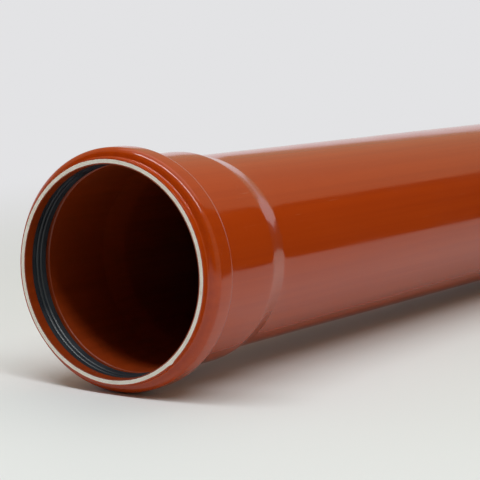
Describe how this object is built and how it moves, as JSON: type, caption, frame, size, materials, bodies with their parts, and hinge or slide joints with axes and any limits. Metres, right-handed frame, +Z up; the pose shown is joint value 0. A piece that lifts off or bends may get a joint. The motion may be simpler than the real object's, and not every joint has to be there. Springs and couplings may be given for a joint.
{
  "type": "plastic sewer pipe",
  "caption": "Straight sewer pipe of three-layer PVC with a push-fit socket, a rubber sealing ring in its bead and a chamfered spigot end.",
  "frame": {"origin": "on the floor, under the middle of the pipe", "axes": "+X along the pipe from the socket to the spigot end, +Z up; the axis dips by 0.53 degrees because the pipe lies on its bead"},
  "size_m": [1.0864, 0.1294, 0.1297],
  "materials": {
    "skin": "smooth extruded orange-brown PVC, glossy",
    "foam_core": "sawn foamed PVC, off-white, matt",
    "seal": "moulded rubber, black, soft sheen"
  },
  "bodies": {
    "root": {"pipe": "skin", "seal_ring": "seal"}
  },
  "joints": []
}
